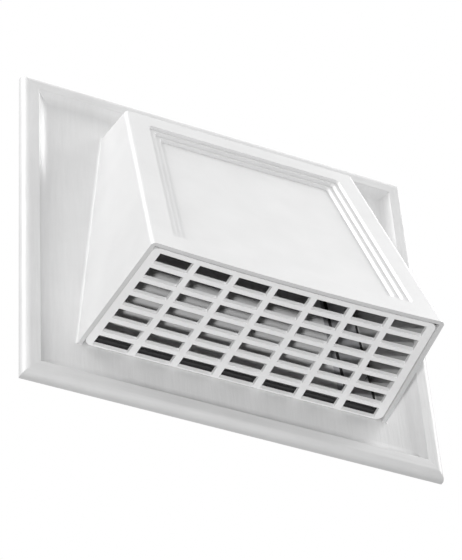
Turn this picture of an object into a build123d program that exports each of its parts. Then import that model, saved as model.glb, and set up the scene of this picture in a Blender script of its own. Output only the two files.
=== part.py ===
"""Hooded wall vent: plate and hood moulding, snap-in guard, back box and damper flap.

Millimetres. X runs to the right and Z up across the wall, Y runs into the wall.
The origin is on the duct's axis, in the plane of the wall's face.
"""
import os
from math import atan2, cos, degrees, hypot, radians, sin

from build123d import *

# Plate
plate_width = 300.0
plate_height = 280.0
border_rise = 7.6  # front of the border above the wall
border_width = 12.2  # outer edge of the plate to the edge of the cove
border_round = 5.3  # rounding of the outer front edge
border_inner_round = 0.8  # rounding between the border and the cove
cove_run = 9.0  # width of the cove between the border and the field
field_rise = 3.0  # front of the sunk field above the wall
shell = 1.8  # wall of the plate
rim_width = 3.0  # edge of the plate that bears on the wall
channel_wall = 2.2  # in front of the border's hollow

# Hood, whose depths are measured from the wall's face
hood_top_z = 102.2  # where the roof meets the field
brow_drop = 8.5  # fall of the roof from the field to the brow
brow_depth = 40.1
lip_z = -100.7
lip_depth = 105.6
hood_width_top = 179.3  # at the wall, at hood_top_z
hood_width_lip = 222.9  # at the wall, at lip_z
side_lean = 0.0876  # narrowing of each side for each unit of depth
lip_bow = 2.4  # how far the middle of the front lip is drawn in
hood_wall = 3.0
hood_round = 3.4
root_fillet = 2.0  # between the hood and the field

# Stepped panel in the hood's front, measured along the face
panel_steps = 3
panel_top = 16.1  # from the brow
panel_side = 15.7  # from the hood's sides
panel_foot = 18.0  # from the lip
panel_corner = 3.0
step_tread = 4.4
step_depth = 1.8
step_draft = 30.0  # degrees, of the steps' risers
panel_wall = 2.4  # behind the steps

# Throat in the plate, behind the hood
throat_ledge = 3.0  # of the plate, inside the hood
throat_sill = 5.0  # height of the throat's lower edge above the lip

# Guard in the hood's mouth
guard_recess = 1.0  # above the lip
guard_thickness = 1.8
guard_gap = 0.4
guard_corner = 5.0
guard_columns = 7
guard_rows = 7
guard_side_bar = 5.8
guard_front_bar = 4.2
guard_back_bar = 1.2
column_bar_front = 4.3
column_bar_back = 5.2
row_bar = 3.9

# Clips that hold the guard over ribs on the hood's sides
clip_depths = (32.0, 78.0)
clip_width = 8.0
clip_thickness = 1.8
clip_barb = 1.5
clip_gap = 0.3
rib_reach = 2.6
rib_height = 3.0
rib_width = 12.0

# Back box with the duct's spigot
box_gap = 0.3
box_wall = 2.0
box_depth = 25.0  # behind the wall's face
box_flange = 9.0
hook_heights = (-60.0, 60.0)
hook_width = 12.0
hook_reach = 4.0
hook_barb = 1.5
hook_gap = 0.2
spigot_diameter = 149.0
spigot_length = 25.0
seat_width = 3.0
seat_rise = 3.0

# Damper flap
flap_margin = 3.0  # beyond the seat
flap_flare = 0.08  # widening of each side for each unit down from the hinge
flap_thickness = 2.0
flap_corner = 6.0
flap_room = 0.5  # from the flap to the box's walls
barrel_radius = 2.5
hinge_set_back = 0.5  # from the flap's back face to the hinge axis
hinge_clear = 6.0  # from the seat's top to the hinge axis
pin_radius = 2.0
pin_length = 3.0
pin_clearance = 0.05
lug_thickness = 3.4
lug_gap = 0.4
lug_radius = 5.0
lug_room = 0.3  # from the lugs to the box's walls
lug_mouth = 3.4  # width of the slot that the pin snaps through

# Worked out from the sizes above
overlap = 1.0  # how far joined solids run into each other
field_back = field_rise - shell
brow_z = hood_top_z - brow_drop
front_run = brow_z - lip_z
front_angle = degrees(atan2(lip_depth - brow_depth, front_run))
face_length = hypot(lip_depth - brow_depth, front_run)
roof_slope = brow_drop / (brow_depth - field_rise)
crown_z = hood_top_z + 2 * hood_round
bore_radius = spigot_diameter / 2 - box_wall
seat_radius = bore_radius + seat_width
back_face = box_depth - box_wall
seat_face = back_face - seat_rise
hinge_y = seat_face - hinge_set_back
hinge_z = seat_radius + hinge_clear
flap_half = seat_radius + flap_margin
flap_low = -flap_half
flap_foot_half = flap_half + flap_flare * (hinge_z - flap_low)
lug_near = flap_half + lug_gap
lug_far = lug_near + lug_thickness
lug_top = hinge_z + lug_radius
guard_z = lip_z + guard_recess
guard_top = guard_z + guard_thickness
guard_back = field_rise + guard_gap
rib_z = guard_top + clip_gap

# Sections across the plate's width and its height, both with their Y out of the wall
width_section = Plane((0, 0, 0), x_dir=(1, 0, 0), z_dir=(0, 0, -1))
height_section = Plane((0, 0, 0), x_dir=(0, 0, 1), z_dir=(1, 0, 0))
plate_sections = (
    (width_section, plate_width, Mode.ADD),
    (height_section, plate_height, Mode.INTERSECT),
)
section_reach = max(plate_width, plate_height)


def front_depth(z):
    """Depth of the hood's front face at a height."""
    return lip_depth + (brow_depth - lip_depth) * (z - lip_z) / front_run


def half_width(depth, z):
    """Half of the hood's outer width at a depth and a height."""
    share = (z - lip_z) / (hood_top_z - lip_z)
    at_wall = hood_width_lip + (hood_width_top - hood_width_lip) * share
    return at_wall / 2 - side_lean * depth


def bow(z):
    """How far the middle of the hood's front is drawn in at a height."""
    return lip_bow * (brow_z - z) / front_run


def hood_outline(z, inset, back):
    """Close the line of the hood's plan at a height, set in from its outer walls."""
    front = front_depth(z) - inset / cos(radians(front_angle))
    back_half = half_width(back, z) - inset
    front_half = half_width(front, z) - inset
    Polyline((-front_half, -front), (-back_half, -back), (back_half, -back), (front_half, -front))
    ThreePointArc((front_half, -front), (0, bow(z) - front), (-front_half, -front))


def hood_body(inset, low, back):
    """Solid of the hood's plan lofted from a low section to the crown and cut by the roof."""
    with BuildPart() as body:
        for z in (low, crown_z):
            with BuildSketch(Plane.XY.offset(z)):
                with BuildLine():
                    hood_outline(z, inset, back)
                make_face()
        loft(ruled=True)
        split(bisect_by=roof_plane.offset(-inset), keep=Keep.BOTTOM)
    return body


def throat_half(z):
    """Half of the throat's width at a height."""
    return half_width(field_rise, z) - hood_wall - throat_ledge


throat_low = lip_z + throat_sill
throat_high = hood_top_z - hood_wall / cos(atan2(roof_slope, 1)) - throat_ledge


def trapezium(low, high, widen):
    """Close a line with the throat's sloped sides between two heights, widened to each side."""
    low_half = throat_half(low) + widen
    high_half = throat_half(high) + widen
    Polyline((-low_half, low), (low_half, low), (high_half, high), (-high_half, high), close=True)


def throat_outline(inset):
    """Close the line of the throat in the wall's plane, set in from its edges."""
    trapezium(throat_low + inset, throat_high - inset, -inset)


# Behind the wall the box follows the throat, and is larger where the flap and its lugs need it
box_low = min(throat_low + box_gap, flap_low - flap_room - box_wall)
box_high = max(throat_high - box_gap, lug_top + lug_room + box_wall)
box_widen = max(-box_gap, lug_far + lug_room + box_wall - throat_half(lug_top),
                flap_foot_half + flap_room + box_wall - throat_half(flap_low))


def box_outline(inset):
    """Close the line of the back box behind the wall's face, set in from its outer walls."""
    trapezium(box_low + inset, box_high - inset, box_widen - inset)


face_out = (0, -cos(radians(front_angle)), sin(radians(front_angle)))
brow_point = (0, -brow_depth, brow_z)
face_plane = Plane(brow_point, x_dir=(1, 0, 0), z_dir=face_out)
roof_plane = Plane(brow_point, z_dir=(0, -roof_slope, 1))


def face_half(run):
    """Half of the front face's width at a distance down from the brow."""
    z = brow_z - run * cos(radians(front_angle))
    return half_width(front_depth(z), z)


def panel_cut(step, grow):
    """Solid of one step of the sunk panel, whose floor follows the face; grow adds a wall round it."""
    setting = step * step_tread - grow
    top = panel_top + setting
    foot = face_length - panel_foot - setting
    tread_depth = step * step_depth
    depth = tread_depth + step_depth + grow
    core = hood_body(depth, lip_z - overlap, field_rise)
    with BuildPart() as cut:
        with BuildSketch(face_plane.offset(-tread_depth)) as outline:
            with BuildLine():
                top_half = face_half(top) - panel_side - setting
                foot_half = face_half(foot) - panel_side - setting
                Polyline((-top_half, -top), (top_half, -top), (foot_half, -foot), (-foot_half, -foot),
                         close=True)
            make_face()
            fillet(outline.vertices(), radius=panel_corner)
        extrude(outline.sketch, amount=tread_depth + overlap)
        extrude(outline.sketch, amount=-(step_depth + grow + lip_bow + overlap), taper=step_draft)
        add(core.part, mode=Mode.SUBTRACT)
    return cut.part


# Outer form of the hood, with its front and roof edges rounded
hood_form = hood_body(0, lip_z, field_back)
with hood_form:
    edges = hood_form.edges().filter_by(
        lambda e: e.center().Z > lip_z + overlap and e.center().Y < -field_rise - overlap)
    fillet(edges, radius=hood_round)

# Space inside the hood, with the backs of the panel's steps standing into it
hood_space = hood_body(hood_wall, lip_z - overlap, field_rise)
with hood_space:
    for step in range(panel_steps):
        add(panel_cut(step, panel_wall), mode=Mode.SUBTRACT)


def field_outline(size):
    """Close the section of the space in front of the field, with a cove at each end."""
    edge = size / 2 - border_width
    flare = edge + border_width / 2
    front = border_rise + overlap
    Line((cove_run - edge, field_rise), (edge - cove_run, field_rise))
    for side in (-1, 1):
        TangentArc((side * (edge - cove_run), field_rise), (side * edge, border_rise), tangent=(side, 0))
        Polyline((side * edge, border_rise), (side * flare, border_rise), (side * flare, front))
    Line((-flare, front), (flare, front))


# Space in front of the sunk field
with BuildPart() as field_space:
    for plane, size, mode in plate_sections:
        with BuildSketch(plane) as section:
            with BuildLine():
                field_outline(size)
            make_face()
            corners = section.vertices().filter_by(lambda v: abs(v.Y - border_rise) < border_inner_round)
            fillet(corners.sort_by(lambda v: abs(v.X))[:2], radius=border_inner_round)
        extrude(amount=section_reach, both=True, mode=mode)

# Plate and hood in one moulding
with BuildPart() as hood:
    for plane, size, mode in plate_sections:
        with BuildSketch(plane) as section:
            with Locations((0, border_rise / 2)):
                Rectangle(size, border_rise)
            fillet(section.vertices().group_by(Axis.Y)[-1], radius=border_round)
        extrude(amount=section_reach, both=True, mode=mode)
    add(field_space.part, mode=Mode.SUBTRACT)
    add(hood_form.part)
    root_edges = hood.edges(Select.NEW).filter_by(
        lambda e: e.center().Z > lip_z + overlap and e.center().Y > -border_rise)
    fillet(root_edges, radius=root_fillet)
    add(hood_space.part, mode=Mode.SUBTRACT)
    for step in range(panel_steps):
        add(panel_cut(step, 0), mode=Mode.SUBTRACT)
    with BuildSketch(Plane.XZ):
        with BuildLine():
            throat_outline(0)
        make_face()
    extrude(amount=border_rise, mode=Mode.SUBTRACT)
    with BuildSketch(Plane.XZ):
        Rectangle(plate_width - 2 * rim_width, plate_height - 2 * rim_width)
    extrude(amount=field_back, mode=Mode.SUBTRACT)
    with BuildSketch(Plane.XZ):
        Rectangle(plate_width - 2 * rim_width, plate_height - 2 * rim_width)
        inner = 2 * (border_width - shell)
        Rectangle(plate_width - inner, plate_height - inner, mode=Mode.SUBTRACT)
    extrude(amount=border_rise - channel_wall, mode=Mode.SUBTRACT)
    for depth in clip_depths:
        for side in (-1, 1):
            wall = half_width(depth, rib_z) - hood_wall
            with Locations((side * (wall - rib_reach / 2 + overlap / 2), -depth, rib_z + rib_height / 2)):
                Box(rib_reach + overlap, rib_width, rib_height)
hood.part.label = "hood"


def guard_half(depth):
    """Half of the guard's width at a depth."""
    return half_width(depth, guard_top) - hood_wall - guard_gap


guard_front = front_depth(guard_top) - (hood_wall + guard_gap) / cos(radians(front_angle))
slots_front = guard_front - guard_front_bar
slots_back = guard_back + guard_back_bar
row_pitch = (slots_front - slots_back + row_bar) / guard_rows


def slot_point(edge, depth):
    """Point on the guard; edge counts the columns' edges in pitches from the left."""
    share = (depth - slots_back) / (slots_front - slots_back)
    bar = column_bar_back + (column_bar_front - column_bar_back) * share
    half = guard_half(depth) - guard_side_bar
    pitch = (2 * half + bar) / guard_columns
    whole = int(edge)
    x = -half + whole * pitch + (pitch - bar if edge > whole else 0)
    return x, -depth + lip_bow * share * (1 - (x / half) ** 2)


# Guard with fanned columns and rows that follow the lip
with BuildPart() as guard:
    with BuildSketch(Plane.XY.offset(guard_z)) as guard_plan:
        with BuildLine():
            back_half = guard_half(guard_back)
            front_half = guard_half(guard_front)
            Polyline((-front_half, -guard_front), (-back_half, -guard_back), (back_half, -guard_back),
                     (front_half, -guard_front))
            ThreePointArc((front_half, -guard_front), (0, lip_bow - guard_front),
                          (-front_half, -guard_front))
        make_face()
        fillet(guard_plan.vertices(), radius=guard_corner)
        for row in range(guard_rows):
            near = slots_back + row * row_pitch
            far = near + row_pitch - row_bar
            for column in range(guard_columns):
                with BuildLine():
                    Polyline(slot_point(column, near), slot_point(column + 0.5, near),
                             slot_point(column + 0.5, far), slot_point(column, far), close=True)
                make_face(mode=Mode.SUBTRACT)
    extrude(amount=guard_thickness)
    for depth in clip_depths:
        foot = half_width(depth, rib_z) - hood_wall - rib_reach - clip_gap
        rise = guard_z + guard_thickness / 2
        barb_low = rib_z + rib_height + clip_gap
        barb_high = barb_low + 2 * clip_barb
        with BuildSketch(Plane.XZ.offset(depth - clip_width / 2)):
            with BuildLine():
                Polyline((foot - clip_thickness, rise), (foot, rise),
                         (foot, barb_low), (foot + clip_barb, barb_low), (foot, barb_high),
                         (foot - clip_thickness, barb_high), close=True)
            make_face()
        extrude(amount=clip_width)
    mirror(about=Plane.YZ)
guard.part.label = "guard"

# Back box, collar, flange, hooks, flap seat and duct spigot in one moulding
with BuildPart() as back_box:
    with BuildSketch(Plane.XZ):
        with BuildLine():
            box_outline(-box_flange)
        make_face()
    extrude(amount=field_back)
    with BuildSketch(Plane.XZ):
        with BuildLine():
            throat_outline(box_gap)
        make_face()
    extrude(amount=field_rise + hook_reach)
    with BuildSketch(Plane.XZ):
        with BuildLine():
            box_outline(0)
        make_face()
    extrude(amount=-box_depth)
    with BuildSketch(Plane.XZ):
        with BuildLine():
            throat_outline(box_gap + box_wall)
        make_face()
    extrude(amount=field_rise + hook_reach, mode=Mode.SUBTRACT)
    with BuildSketch(Plane.XZ):
        with BuildLine():
            box_outline(box_wall)
        make_face()
    extrude(amount=-back_face, mode=Mode.SUBTRACT)
    with BuildSketch(Plane.XZ.offset(-back_face)):
        Circle(seat_radius)
    extrude(amount=seat_rise)
    with BuildSketch(Plane.XZ.offset(-box_depth)):
        Circle(spigot_diameter / 2)
    extrude(amount=-spigot_length)
    with BuildSketch(Plane.XZ.offset(-seat_face)):
        Circle(bore_radius)
    extrude(amount=-(seat_rise + box_wall + spigot_length), mode=Mode.SUBTRACT)
    with BuildSketch(Plane.YZ.offset(lug_near)):
        with Locations((hinge_y, hinge_z)):
            Circle(lug_radius)
        with Locations(((hinge_y + back_face + overlap) / 2, hinge_z)):
            Rectangle(back_face + overlap - hinge_y, 2 * lug_radius)
    extrude(amount=lug_thickness)
    with BuildSketch(Plane.YZ.offset(lug_near)):
        with Locations((hinge_y, hinge_z)):
            Circle(pin_radius + pin_clearance)
        with Locations((hinge_y - lug_radius, hinge_z)):
            Rectangle(2 * lug_radius, lug_mouth)
    extrude(amount=lug_thickness, mode=Mode.SUBTRACT)
    for z in hook_heights:
        with BuildSketch(Plane.XY.offset(z - hook_width / 2)):
            with BuildLine():
                root = throat_half(z + hook_width / 2) - box_gap - overlap
                tip = throat_half(z - hook_width / 2) - box_gap + hook_barb
                under = -field_rise - hook_gap
                front = -field_rise - hook_reach
                Polyline((root, under), (tip, under), (tip - hook_barb, front), (root, front), close=True)
            make_face()
        extrude(amount=hook_width)
    mirror(about=Plane.YZ)
back_box.part.label = "back_box"

# Damper flap with its barrel and pins
with BuildPart() as flap:
    with BuildSketch(Plane.XZ.offset(-seat_face)) as flap_plan:
        with BuildLine():
            Polyline((-flap_half, hinge_z), (-flap_foot_half, flap_low), (flap_foot_half, flap_low),
                     (flap_half, hinge_z), close=True)
        make_face()
        fillet(flap_plan.vertices().group_by(Axis.Y)[0], radius=flap_corner)
    extrude(amount=flap_thickness)
    with BuildSketch(Plane.YZ):
        with Locations((hinge_y, hinge_z)):
            Circle(barrel_radius)
    extrude(amount=flap_half, both=True)
    with BuildSketch(Plane.YZ):
        with Locations((hinge_y, hinge_z)):
            Circle(pin_radius)
    extrude(amount=flap_half + pin_length, both=True)
flap.part.label = "flap"

if __name__ == "__main__":
    os.makedirs("parts", exist_ok=True)
    for piece in (hood, guard, back_box, flap):
        export_step(piece.part, f"parts/{piece.part.label}.step")
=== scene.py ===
from math import radians

import bmesh
import bpy
from mathutils import Euler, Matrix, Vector


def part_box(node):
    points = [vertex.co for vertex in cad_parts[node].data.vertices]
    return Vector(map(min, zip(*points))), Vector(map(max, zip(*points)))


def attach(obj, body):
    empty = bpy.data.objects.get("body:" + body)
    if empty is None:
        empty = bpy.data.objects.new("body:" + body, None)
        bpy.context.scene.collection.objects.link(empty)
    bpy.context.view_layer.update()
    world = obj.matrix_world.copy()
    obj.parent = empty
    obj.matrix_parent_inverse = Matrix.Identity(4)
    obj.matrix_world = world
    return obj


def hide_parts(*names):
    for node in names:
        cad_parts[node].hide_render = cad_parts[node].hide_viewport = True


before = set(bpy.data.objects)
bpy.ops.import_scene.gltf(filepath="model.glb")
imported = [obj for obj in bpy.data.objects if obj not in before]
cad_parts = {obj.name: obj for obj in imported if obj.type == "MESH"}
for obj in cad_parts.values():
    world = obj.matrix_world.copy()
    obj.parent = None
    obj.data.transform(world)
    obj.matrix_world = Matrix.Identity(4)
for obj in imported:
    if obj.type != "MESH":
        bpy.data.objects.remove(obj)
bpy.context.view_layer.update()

bl_info = {
    "name": "Hooded Wall Vent",
    "version": (1, 0, 0),
    "blender": (4, 5, 0),
    "location": "3D View > Sidebar > Vent",
    "description": "Finishes a moulded wall vent and sets it up in a plain studio",
    "category": "Object",
}

# Lamps of the studio. Each has a place, a power and a width among the properties.
LAMPS = ("key", "fill", "side", "left", "top")

# Corners closer than this, in metres, are one corner or lie at one height.
SAME_PLACE = 1e-6
# Edges that turn more than this bound a flat face.
SHARP = radians(30)

# Noise swings about this value.
NOISE_MIDDLE = 0.5
# How much the clouds and the fine skin change the roughness.
CLOUD_SHEEN = 0.25
SKIN_SHEEN = 0.06

# The grain: where the rails' lines are taken in the noise, the slow swell's scale and share, the middle of
# streaks and swell together, and how far the lines lighten and darken the plate.
RAIL_SHIFT = 7.3
SWELL_SCALE = 0.22
SWELL_SHARE = 0.5
GRAIN_MIDDLE = 0.75
GRAIN_TONE = 0.12
# Share of the grain's reach at which it begins to fade.
FADE_START = 0.9

# Limits on a part of the normal, for faces that are not turned to the wall, that are turned to the back of
# the hood, that are turned to the front, and that look in at the middle. The last three pick where shade is
# painted in the hood and where the box is lifted out of its painted shade.
NOT_TO_WALL = 0.2
TO_HOOD_BACK = 0.4
TO_FRONT = -0.5
INWARD = -0.01

# The floor: its roughness, and the share of plain white that the camera sees on it.
FLOOR_ROUGHNESS = 0.9
FLOOR_WHITE = 0.9


def colour_property(name, description, shade):
    """A colour that a user would change."""
    return bpy.props.FloatVectorProperty(
        name=name, description=description, subtype="COLOR", size=4, min=0.0, max=1.0,
        default=(*shade, 1.0))


def place_property(name, description, place):
    """A point in the studio, in metres."""
    return bpy.props.FloatVectorProperty(
        name=name, description=description, subtype="TRANSLATION", unit="LENGTH", size=3, default=place)


def length_property(name, description, length, precision=3):
    """A length in metres."""
    return bpy.props.FloatProperty(
        name=name, description=description, unit="LENGTH", precision=precision, default=length)


def power_property(name, description, watts):
    """The power of a lamp."""
    return bpy.props.FloatProperty(name=name, description=description, unit="POWER", default=watts)


def factor_property(name, description, share):
    """A share between nought and one."""
    return bpy.props.FloatProperty(name=name, description=description, subtype="FACTOR", default=share)


def plain_property(name, description, value):
    """A number without a unit."""
    return bpy.props.FloatProperty(name=name, description=description, default=value)


class VentFinishes(bpy.types.PropertyGroup):
    """Colours, painted shade and surface detail of the vent's mouldings."""

    hood_white: colour_property(
        "Hood white", "Colour of the plate and hood moulding", (0.665, 0.665, 0.666))
    guard_white: colour_property(
        "Guard white", "Colour of the guard in the hood's mouth", (0.93, 0.93, 0.931))
    # Painted shade: the box is near black so that its collar's floor and bore, seen through the guard, stand
    # in for the shade deep in the vent. The lift below makes its inner back wall and sides light again.
    box_painted_shade_grey: colour_property(
        "Box grey", "Colour of the back box and its spigot", (0.03, 0.03, 0.031))
    flap_white: colour_property(
        "Flap white", "Colour of the damper flap", (0.82, 0.82, 0.821))
    bar_rise: length_property(
        "Bar rise", "How much deeper the guard's bars are than its frame", 0.0012, precision=4)
    box_shade_lift: plain_property(
        "Box lift", "How many times lighter the box is inside than outside", 18.0)
    grain_depth: length_property(
        "Grain depth", "Depth of the wood grain pressed into the plate", 0.0002, precision=5)
    grain_width: length_property(
        "Grain width", "Distance from one grain line to the next", 0.0022, precision=5)
    grain_length: length_property(
        "Grain length", "Length of a grain line", 0.035)
    plate_depth: length_property(
        "Plate depth", "Depth in front of the wall up to which the grain reaches", 0.0085, precision=4)
    front_lean: bpy.props.FloatProperty(
        name="Front lean", description="Angle between the hood's front and the wall",
        subtype="ANGLE", unit="ROTATION", default=radians(18.6))
    # Painted shade: the hood's inside faces that look back at the wall and down are darkened to this share
    # of the hood white. They stand in for the shade inside the hood, though the moulding is white all
    # through.
    inside_painted_shade_tone: factor_property(
        "Inside tone", "How light the back of the hood's front is beside its outside", 0.03)
    satin: factor_property(
        "Satin", "Roughness of the white mouldings", 0.42)


class VentStudio(bpy.types.PropertyGroup):
    """Camera, lamps and floor around the vent."""

    camera_place: place_property(
        "Camera place", "Where the camera stands", (-0.56863, -1.09462, -1.18472))
    camera_turn: bpy.props.FloatVectorProperty(
        name="Camera turn", description="How the camera is turned", subtype="EULER", unit="ROTATION",
        size=3, default=(radians(133.8515), radians(3.3078), radians(-24.4792)))
    camera_lens: plain_property(
        "Camera lens", "Focal length in millimetres on a 36 mm film", 160.867)
    key_place: place_property("Key place", "Where the small key lamp stands", (-0.606, -1.231, -1.132))
    key_watts: power_property("Key power", "Power of the key lamp", 17.3)
    key_size: length_property("Key size", "Width of the key lamp", 0.04)
    fill_place: place_property("Fill place", "Where the large soft lamp stands", (-1.2, -0.02, 1.9))
    fill_watts: power_property("Fill power", "Power of the large soft lamp", 26.0)
    fill_size: length_property("Fill size", "Width of the large soft lamp", 0.9)
    side_place: place_property("Side place", "Where the weak lamp on the right stands", (1.9, -0.75, 0.8))
    side_watts: power_property("Side power", "Power of the weak lamp on the right", 12.0)
    side_size: length_property("Side size", "Width of the weak lamp on the right", 0.9)
    left_place: place_property("Left place", "Where the weak lamp on the left stands", (-1.7, -0.45, 1.2))
    left_watts: power_property("Left power", "Power of the weak lamp on the left", 21.0)
    left_size: length_property("Left size", "Width of the weak lamp on the left", 0.9)
    top_place: place_property("Top place", "Where the lamp above on the right stands", (1.5, -0.3, 1.6))
    top_watts: power_property("Top power", "Power of the lamp above on the right", 32.0)
    top_size: length_property("Top size", "Width of the lamp above on the right", 0.9)
    ambient: plain_property("Ambient", "Strength of the light from all round", 0.3)
    floor_drop: length_property("Floor drop", "Height of the floor below the vent's origin", 3.0)
    floor_width: length_property("Floor width", "Width of the floor", 2.2)
    floor_colour: colour_property("Floor colour", "Colour of the floor", (0.8, 0.8, 0.8))


class Nodes:
    """Adds nodes to one tree and joins them."""

    def __init__(self, tree):
        self.tree = tree

    def add(self, kind, **settings):
        """A new node with its settings."""
        node = self.tree.nodes.new(kind)
        for name, value in settings.items():
            setattr(node, name, value)
        return node

    def group(self, name, build, **values):
        """A shared node group, built the first time that it is asked for, with values for its inputs."""
        node = self.add("ShaderNodeGroup", node_tree=bpy.data.node_groups.get(name) or build(name))
        for socket, value in values.items():
            node.inputs[socket.replace("_", " ").capitalize()].default_value = value
        return node

    def join(self, output, socket):
        """Link an output to a socket."""
        self.tree.links.new(output, socket)

    def feed(self, socket, value):
        """Link an output to a socket, or set the socket's own value."""
        if isinstance(value, bpy.types.NodeSocket):
            self.join(value, socket)
        else:
            socket.default_value = value

    def maths(self, operation, *values):
        """The result of a sum on one to three values."""
        node = self.add("ShaderNodeMath", operation=operation)
        for socket, value in zip(node.inputs, values):
            self.feed(socket, value)
        return node.outputs["Value"]

    def span(self, value, low, high, to_low, to_high):
        """A value moved from one range to another."""
        node = self.add("ShaderNodeMapRange")
        for name, setting in (("Value", value), ("From Min", low), ("From Max", high),
                              ("To Min", to_low), ("To Max", to_high)):
            self.feed(node.inputs[name], setting)
        return node.outputs["Result"]

    def noise(self, vector, scale, detail, roughness):
        """A noise between nought and one."""
        node = self.add("ShaderNodeTexNoise")
        self.feed(node.inputs["Vector"], vector)
        self.feed(node.inputs["Scale"], scale)
        node.inputs["Detail"].default_value = detail
        node.inputs["Roughness"].default_value = roughness
        return node.outputs["Fac"]

    def tinted(self, colour, tone):
        """A colour made lighter or darker by a tone."""
        node = self.add("ShaderNodeVectorMath", operation="SCALE")
        self.feed(node.inputs["Vector"], colour)
        self.feed(node.inputs["Scale"], tone)
        return node.outputs["Vector"]

    def axes(self, kind, output):
        """The three parts of a vector that a node gives."""
        parts = self.add("ShaderNodeSeparateXYZ")
        self.join(self.add(kind).outputs[output], parts.inputs["Vector"])
        return [parts.outputs[axis] for axis in "XYZ"]

    def place(self):
        """Where a point of the surface lies, as three values."""
        return self.axes("ShaderNodeTexCoord", "Object")

    def facing(self):
        """Which way a point of the surface faces, as three values."""
        return self.axes("ShaderNodeNewGeometry", "True Normal")


def shader_group(name, inputs, outputs):
    """An empty node group with named sockets.

    Gives the group, its nodes, its input node's outputs and its output node's inputs.
    """
    tree = bpy.data.node_groups.new(name, "ShaderNodeTree")
    for socket, default in inputs:
        made = tree.interface.new_socket(name=socket, in_out="INPUT", socket_type="NodeSocketFloat")
        made.default_value = default
    for socket in outputs:
        tree.interface.new_socket(name=socket, in_out="OUTPUT", socket_type="NodeSocketFloat")
    nodes = Nodes(tree)
    return tree, nodes, nodes.add("NodeGroupInput").outputs, nodes.add("NodeGroupOutput").inputs


def moulded_skin_group(name):
    """Cloudy tone, sheen and fine texture of moulded plastic."""
    tree, nodes, given, result = shader_group(
        name,
        (("Cloud size", 0.05), ("Cloud strength", 0.02), ("Skin size", 0.0012), ("Sheen", 0.42)),
        ("Tone", "Roughness", "Height"))
    place = nodes.add("ShaderNodeTexCoord").outputs["Object"]
    clouds = nodes.noise(place, nodes.maths("DIVIDE", 1.0, given["Cloud size"]), detail=3.0, roughness=0.55)
    skin = nodes.noise(place, nodes.maths("DIVIDE", 1.0, given["Skin size"]), detail=2.0, roughness=0.6)
    swing = nodes.maths("SUBTRACT", clouds, NOISE_MIDDLE)
    drift = nodes.maths("MULTIPLY", swing, given["Cloud strength"])
    nodes.join(nodes.maths("MULTIPLY_ADD", drift, 2.0, 1.0), result["Tone"])
    blotch = nodes.maths("MULTIPLY_ADD", swing, CLOUD_SHEEN, given["Sheen"])
    nodes.join(nodes.maths("MULTIPLY_ADD", skin, SKIN_SHEEN, blotch), result["Roughness"])
    nodes.join(skin, result["Height"])
    return tree


def pressed_grain_group(name):
    """Grain pressed into the plate, along each side of the border and upright on the field."""
    tree, nodes, given, result = shader_group(
        name,
        (("Line width", 0.0022), ("Line length", 0.035), ("Reach", 0.0085),
         ("Half width", 0.15), ("Half height", 0.14), ("Border", 0.0125)),
        ("Tone", "Height"))
    x, y, z = nodes.place()
    from_side = nodes.maths("SUBTRACT", given["Half width"], nodes.maths("ABSOLUTE", x))
    from_end = nodes.maths("SUBTRACT", given["Half height"], nodes.maths("ABSOLUTE", z))
    on_rail = nodes.maths("MULTIPLY", nodes.maths("LESS_THAN", from_end, given["Border"]),
                          nodes.maths("LESS_THAN", from_end, from_side))
    lines = nodes.add("ShaderNodeCombineXYZ")
    for axis, upright, level, size in (("X", x, z, "Line width"), ("Y", z, x, "Line length")):
        chosen = nodes.add("ShaderNodeMix", data_type="FLOAT")
        nodes.join(on_rail, chosen.inputs["Factor"])
        nodes.join(upright, chosen.inputs["A"])
        nodes.join(level, chosen.inputs["B"])
        nodes.join(nodes.maths("DIVIDE", chosen.outputs["Result"], given[size]), lines.inputs[axis])
    nodes.join(nodes.maths("MULTIPLY", on_rail, RAIL_SHIFT), lines.inputs["Z"])
    streaks = nodes.noise(lines.outputs["Vector"], 1.0, detail=4.0, roughness=0.62)
    swell = nodes.noise(lines.outputs["Vector"], SWELL_SCALE, detail=2.0, roughness=0.5)
    grain = nodes.maths("MULTIPLY_ADD", swell, SWELL_SHARE, streaks)
    depth = nodes.maths("MULTIPLY", y, -1.0)
    fade_start = nodes.maths("MULTIPLY", given["Reach"], FADE_START)
    fade = nodes.span(depth, fade_start, given["Reach"], 1.0, 0.0)
    seen = nodes.maths("LESS_THAN", nodes.facing()[1], NOT_TO_WALL)
    reach = nodes.maths("MULTIPLY", fade, seen)
    nodes.join(nodes.maths("MULTIPLY", grain, reach), result["Height"])
    pale = nodes.maths("MULTIPLY", nodes.maths("SUBTRACT", grain, GRAIN_MIDDLE), reach)
    nodes.join(nodes.maths("MULTIPLY_ADD", pale, GRAIN_TONE, 1.0), result["Tone"])
    return tree


def hood_painted_shade_group(name):
    """Mask of where shade is painted inside the hood: the surfaces that look back at the wall and down, and
    not its sides.
    """
    tree, nodes, given, result = shader_group(
        name, (("Lean", 0.3), ("Plate depth", 0.0085)), ("Mask",))
    _, turn_y, turn_z = nodes.facing()
    _, y, _ = nodes.place()
    back = nodes.maths("MULTIPLY", turn_y, nodes.maths("COSINE", given["Lean"]))
    down = nodes.maths("MULTIPLY", turn_z, nodes.maths("SINE", given["Lean"]))
    turned = nodes.maths("GREATER_THAN", nodes.maths("SUBTRACT", back, down), TO_HOOD_BACK)
    plate_front = nodes.maths("MULTIPLY", given["Plate depth"], -1.0)
    before = nodes.maths("LESS_THAN", y, plate_front)
    nodes.join(nodes.maths("MULTIPLY", turned, before), result["Mask"])
    return tree


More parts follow.
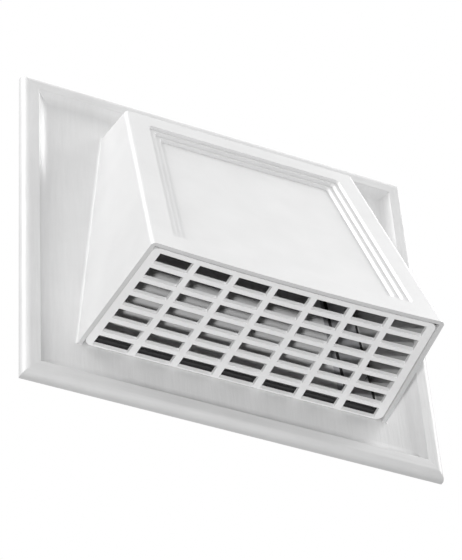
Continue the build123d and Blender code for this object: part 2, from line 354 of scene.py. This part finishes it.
def box_light_walls_group(name):
    """Mask of the box's inner back wall and sides, which are lifted out of the painted shade, and not of its
    collar's floor and its bore.
    """
    tree, nodes, given, result = shader_group(
        name, (("Wall", 0.002), ("Seat", 0.0195)), ("Mask",))
    turn_x, turn_y, _ = nodes.facing()
    x, y, _ = nodes.place()
    to_front = nodes.maths("LESS_THAN", turn_y, TO_FRONT)
    behind = nodes.maths("GREATER_THAN", y, given["Wall"])
    inward = nodes.maths("LESS_THAN", nodes.maths("MULTIPLY", x, turn_x), INWARD)
    before = nodes.maths("LESS_THAN", y, given["Seat"])
    back = nodes.maths("MULTIPLY", to_front, behind)
    sides = nodes.maths("MULTIPLY", inward, before)
    nodes.join(nodes.maths("MAXIMUM", back, sides), result["Mask"])
    return tree


class Plastic:
    """A moulded plastic whose tone, sheen and fine bumps come from the skin group."""

    def __init__(self, name, colour, skin_depth, **skin):
        self.material = bpy.data.materials.new(name)
        self.material.use_nodes = True
        self.nodes = Nodes(self.material.node_tree)
        self.shader = self.material.node_tree.nodes["Principled BSDF"]
        self.colour = colour
        self.skin = self.nodes.group("moulded_skin", moulded_skin_group, **skin)
        self.tone = self.skin.outputs["Tone"]
        self.bumps = [(self.skin.outputs["Height"], skin_depth)]
        self.nodes.join(self.skin.outputs["Roughness"], self.shader.inputs["Roughness"])

    def tone_by(self, tone):
        """Multiply the tone by another."""
        self.tone = self.nodes.maths("MULTIPLY", self.tone, tone)

    def tone_where(self, mask, tone):
        """Multiply the tone where a mask is one."""
        self.tone_by(self.nodes.span(mask, 0.0, 1.0, 1.0, tone))

    def finish(self):
        """Join the tone to the colour and the bumps to the normal."""
        self.nodes.join(self.nodes.tinted(self.colour[:3], self.tone), self.shader.inputs["Base Color"])
        normal = None
        for height, depth in self.bumps:
            bump = self.nodes.add("ShaderNodeBump")
            bump.inputs["Distance"].default_value = depth
            self.nodes.join(height, bump.inputs["Height"])
            if normal is not None:
                self.nodes.join(normal, bump.inputs["Normal"])
            normal = bump.outputs["Normal"]
        self.nodes.join(normal, self.shader.inputs["Normal"])
        return self.material


def dress(node, material):
    """Give a CAD node one material all over."""
    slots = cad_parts[node].data.materials
    slots.clear()
    slots.append(material)


class VENT_OT_finish_hood(bpy.types.Operator):
    """Finish the plate and hood in satin white with pressed wood grain on the plate, and painted shade
    inside the hood
    """
    bl_idname = "vent.finish_hood"
    bl_label = "Finish hood"

    def execute(self, context):
        look = context.scene.vent_finishes
        _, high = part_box("hood")
        white = Plastic("white_moulding", look.hood_white, skin_depth=0.00004,
                        sheen=look.satin, cloud_strength=0.05, cloud_size=0.022)
        grain = white.nodes.group(
            "pressed_grain", pressed_grain_group, line_width=look.grain_width, line_length=look.grain_length,
            reach=look.plate_depth, half_width=high[0], half_height=high[2])
        inside = white.nodes.group(
            "hood_inside", hood_painted_shade_group, lean=look.front_lean, plate_depth=look.plate_depth)
        white.tone_by(grain.outputs["Tone"])
        # Painted shade: darkens the hood's inside faces to near black where they would lie in shade.
        white.tone_where(inside.outputs["Mask"], look.inside_painted_shade_tone)
        white.bumps.append((grain.outputs["Height"], look.grain_depth))
        dress("hood", white.finish())
        return {"FINISHED"}


def rim_of(start):
    """The corners round a flat top that can be reached from one corner along its sharp edges."""
    found = {start}
    reached = [start]
    while reached:
        corner = reached.pop()
        for edge in corner.link_edges:
            other = edge.other_vert(corner)
            level = abs(other.co.z - corner.co.z) < SAME_PLACE
            if level and other not in found and edge.calc_face_angle() > SHARP:
                found.add(other)
                reached.append(other)
    return found


def deepened_guard(rise):
    """A copy of the guard's mesh whose bars stand deeper into the hood, with the rim of its frame kept."""
    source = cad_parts["guard"]
    form = bmesh.new()
    form.from_mesh(source.data)
    form.transform(source.matrix_world)
    bmesh.ops.remove_doubles(form, verts=form.verts, dist=SAME_PLACE)
    underside = min(corner.co.z for corner in form.verts)
    widest = max(form.verts, key=lambda corner: (corner.co.z > underside + SAME_PLACE, corner.co.x))
    top = [corner for corner in form.verts if abs(corner.co.z - widest.co.z) < SAME_PLACE]
    rim = rim_of(widest)
    for corner in top:
        if corner not in rim:
            corner.co.z += rise
    form.normal_update()
    mesh = bpy.data.meshes.new("guard_bars")
    form.to_mesh(mesh)
    form.free()
    return mesh


class VENT_OT_finish_guard(bpy.types.Operator):
    """Deepen the guard's bars and finish them in bright white"""
    bl_idname = "vent.finish_guard"
    bl_label = "Finish guard"

    def execute(self, context):
        look = context.scene.vent_finishes
        white = Plastic("guard_plastic", look.guard_white, skin_depth=0.00003,
                        sheen=look.satin, cloud_strength=0.02)
        bars = bpy.data.objects.new("guard_bars", deepened_guard(look.bar_rise))
        bars.data.materials.append(white.finish())
        context.scene.collection.objects.link(bars)
        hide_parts("guard")
        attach(bars, "housing")
        return {"FINISHED"}


class VENT_OT_finish_box(bpy.types.Operator):
    """Finish the back box and its spigot in dark grey as painted shade, lighter on its inner back wall and
    sides
    """
    bl_idname = "vent.finish_box"
    bl_label = "Finish back box"

    def execute(self, context):
        look = context.scene.vent_finishes
        grey = Plastic("box_plastic", look.box_painted_shade_grey, skin_depth=0.00006, sheen=0.5, cloud_strength=0.12)
        inside = grey.nodes.group("box_inside", box_light_walls_group)
        # Painted shade stays on the collar's floor, the bore and the outside; the inner back wall and sides
        # are lifted to a light grey.
        grey.tone_where(inside.outputs["Mask"], look.box_shade_lift)
        dress("back_box", grey.finish())
        return {"FINISHED"}


class VENT_OT_finish_flap(bpy.types.Operator):
    """Finish the damper flap in matt white"""
    bl_idname = "vent.finish_flap"
    bl_label = "Finish flap"

    def execute(self, context):
        look = context.scene.vent_finishes
        white = Plastic("flap_plastic", look.flap_white, skin_depth=0.00005, sheen=0.55, cloud_strength=0.05)
        dress("flap", white.finish())
        return {"FINISHED"}


def plain_rays(nodes):
    """One for rays that come straight, mirrored or through glass to the camera, and nought for light."""
    path = nodes.add("ShaderNodeLightPath")
    seen = nodes.maths("MAXIMUM", path.outputs["Is Camera Ray"], path.outputs["Is Glossy Ray"])
    return nodes.maths("MAXIMUM", seen, path.outputs["Is Transmission Ray"])


def soft_lamp(name, place, watts, width):
    """A square lamp that looks at the vent."""
    lamp = bpy.data.objects.new(name, bpy.data.lights.new(name, "AREA"))
    lamp.data.energy = watts
    lamp.data.size = width
    lamp.location = place
    lamp.rotation_euler = (-Vector(place)).to_track_quat("-Z", "Y").to_euler()
    bpy.context.scene.collection.objects.link(lamp)


def build_floor(studio):
    """A pale floor far below the vent, which shows white."""
    half = studio.floor_width / 2
    corners = [(x, y, -studio.floor_drop)
               for x, y in ((-half, -half), (half, -half), (half, half), (-half, half))]
    mesh = bpy.data.meshes.new("floor")
    mesh.from_pydata(corners, [], [(0, 1, 2, 3)])
    floor = bpy.data.objects.new("floor", mesh)
    bpy.context.scene.collection.objects.link(floor)
    material = bpy.data.materials.new("floor")
    material.use_nodes = True
    nodes = Nodes(material.node_tree)
    shader = material.node_tree.nodes["Principled BSDF"]
    shader.inputs["Base Color"].default_value = studio.floor_colour
    shader.inputs["Roughness"].default_value = FLOOR_ROUGHNESS
    white = nodes.add("ShaderNodeEmission")
    mix = nodes.add("ShaderNodeMixShader")
    nodes.join(nodes.maths("MULTIPLY", plain_rays(nodes), FLOOR_WHITE), mix.inputs["Fac"])
    nodes.join(shader.outputs["BSDF"], mix.inputs[1])
    nodes.join(white.outputs["Emission"], mix.inputs[2])
    nodes.join(mix.outputs["Shader"], material.node_tree.nodes["Material Output"].inputs["Surface"])
    mesh.materials.append(material)


def build_background(scene, ambient):
    """A white world that lights the vent only weakly."""
    world = bpy.data.worlds.new("studio")
    world.use_nodes = True
    nodes = Nodes(world.node_tree)
    background = world.node_tree.nodes["Background"]
    background.inputs["Color"].default_value = (1, 1, 1, 1)
    strength = nodes.span(plain_rays(nodes), 0.0, 1.0, ambient, 1.0)
    nodes.join(strength, background.inputs["Strength"])
    scene.world = world


class VENT_OT_build_stage(bpy.types.Operator):
    """Set up the camera, lamps, floor and background"""
    bl_idname = "vent.build_stage"
    bl_label = "Build stage"

    def execute(self, context):
        scene = context.scene
        studio = scene.vent_studio
        scene.view_settings.view_transform = "Standard"
        camera = bpy.data.objects.new("camera", bpy.data.cameras.new("camera"))
        camera.data.lens = studio.camera_lens
        camera.location = studio.camera_place
        camera.rotation_euler = Euler(studio.camera_turn)
        scene.collection.objects.link(camera)
        scene.camera = camera
        for lamp in LAMPS:
            soft_lamp(lamp, *(getattr(studio, f"{lamp}_{part}") for part in ("place", "watts", "size")))
        build_floor(studio)
        build_background(scene, studio.ambient)
        return {"FINISHED"}


class VENT_PT_sidebar(bpy.types.Panel):
    """Finishes and stage of the vent"""
    bl_idname = "VENT_PT_sidebar"
    bl_label = "Hooded Vent"
    bl_space_type = "VIEW_3D"
    bl_region_type = "UI"
    bl_category = "Vent"

    def draw(self, context):
        layout = self.layout
        for operator in STEPS:
            layout.operator(operator.bl_idname)
        for group in (context.scene.vent_finishes, context.scene.vent_studio):
            box = layout.box()
            for name in group.__annotations__:
                box.prop(group, name)


STEPS = (
    VENT_OT_finish_hood,
    VENT_OT_finish_guard,
    VENT_OT_finish_box,
    VENT_OT_finish_flap,
    VENT_OT_build_stage,
)
CLASSES = (VentFinishes, VentStudio, *STEPS, VENT_PT_sidebar)


def register():
    for cls in CLASSES:
        bpy.utils.register_class(cls)
    bpy.types.Scene.vent_finishes = bpy.props.PointerProperty(type=VentFinishes)
    bpy.types.Scene.vent_studio = bpy.props.PointerProperty(type=VentStudio)


def unregister():
    del bpy.types.Scene.vent_studio
    del bpy.types.Scene.vent_finishes
    for cls in reversed(CLASSES):
        bpy.utils.unregister_class(cls)


def main():
    register()
    bpy.ops.vent.finish_hood()
    bpy.ops.vent.finish_guard()
    bpy.ops.vent.finish_box()
    bpy.ops.vent.finish_flap()
    bpy.ops.vent.build_stage()


if __name__ == "__main__":
    main()
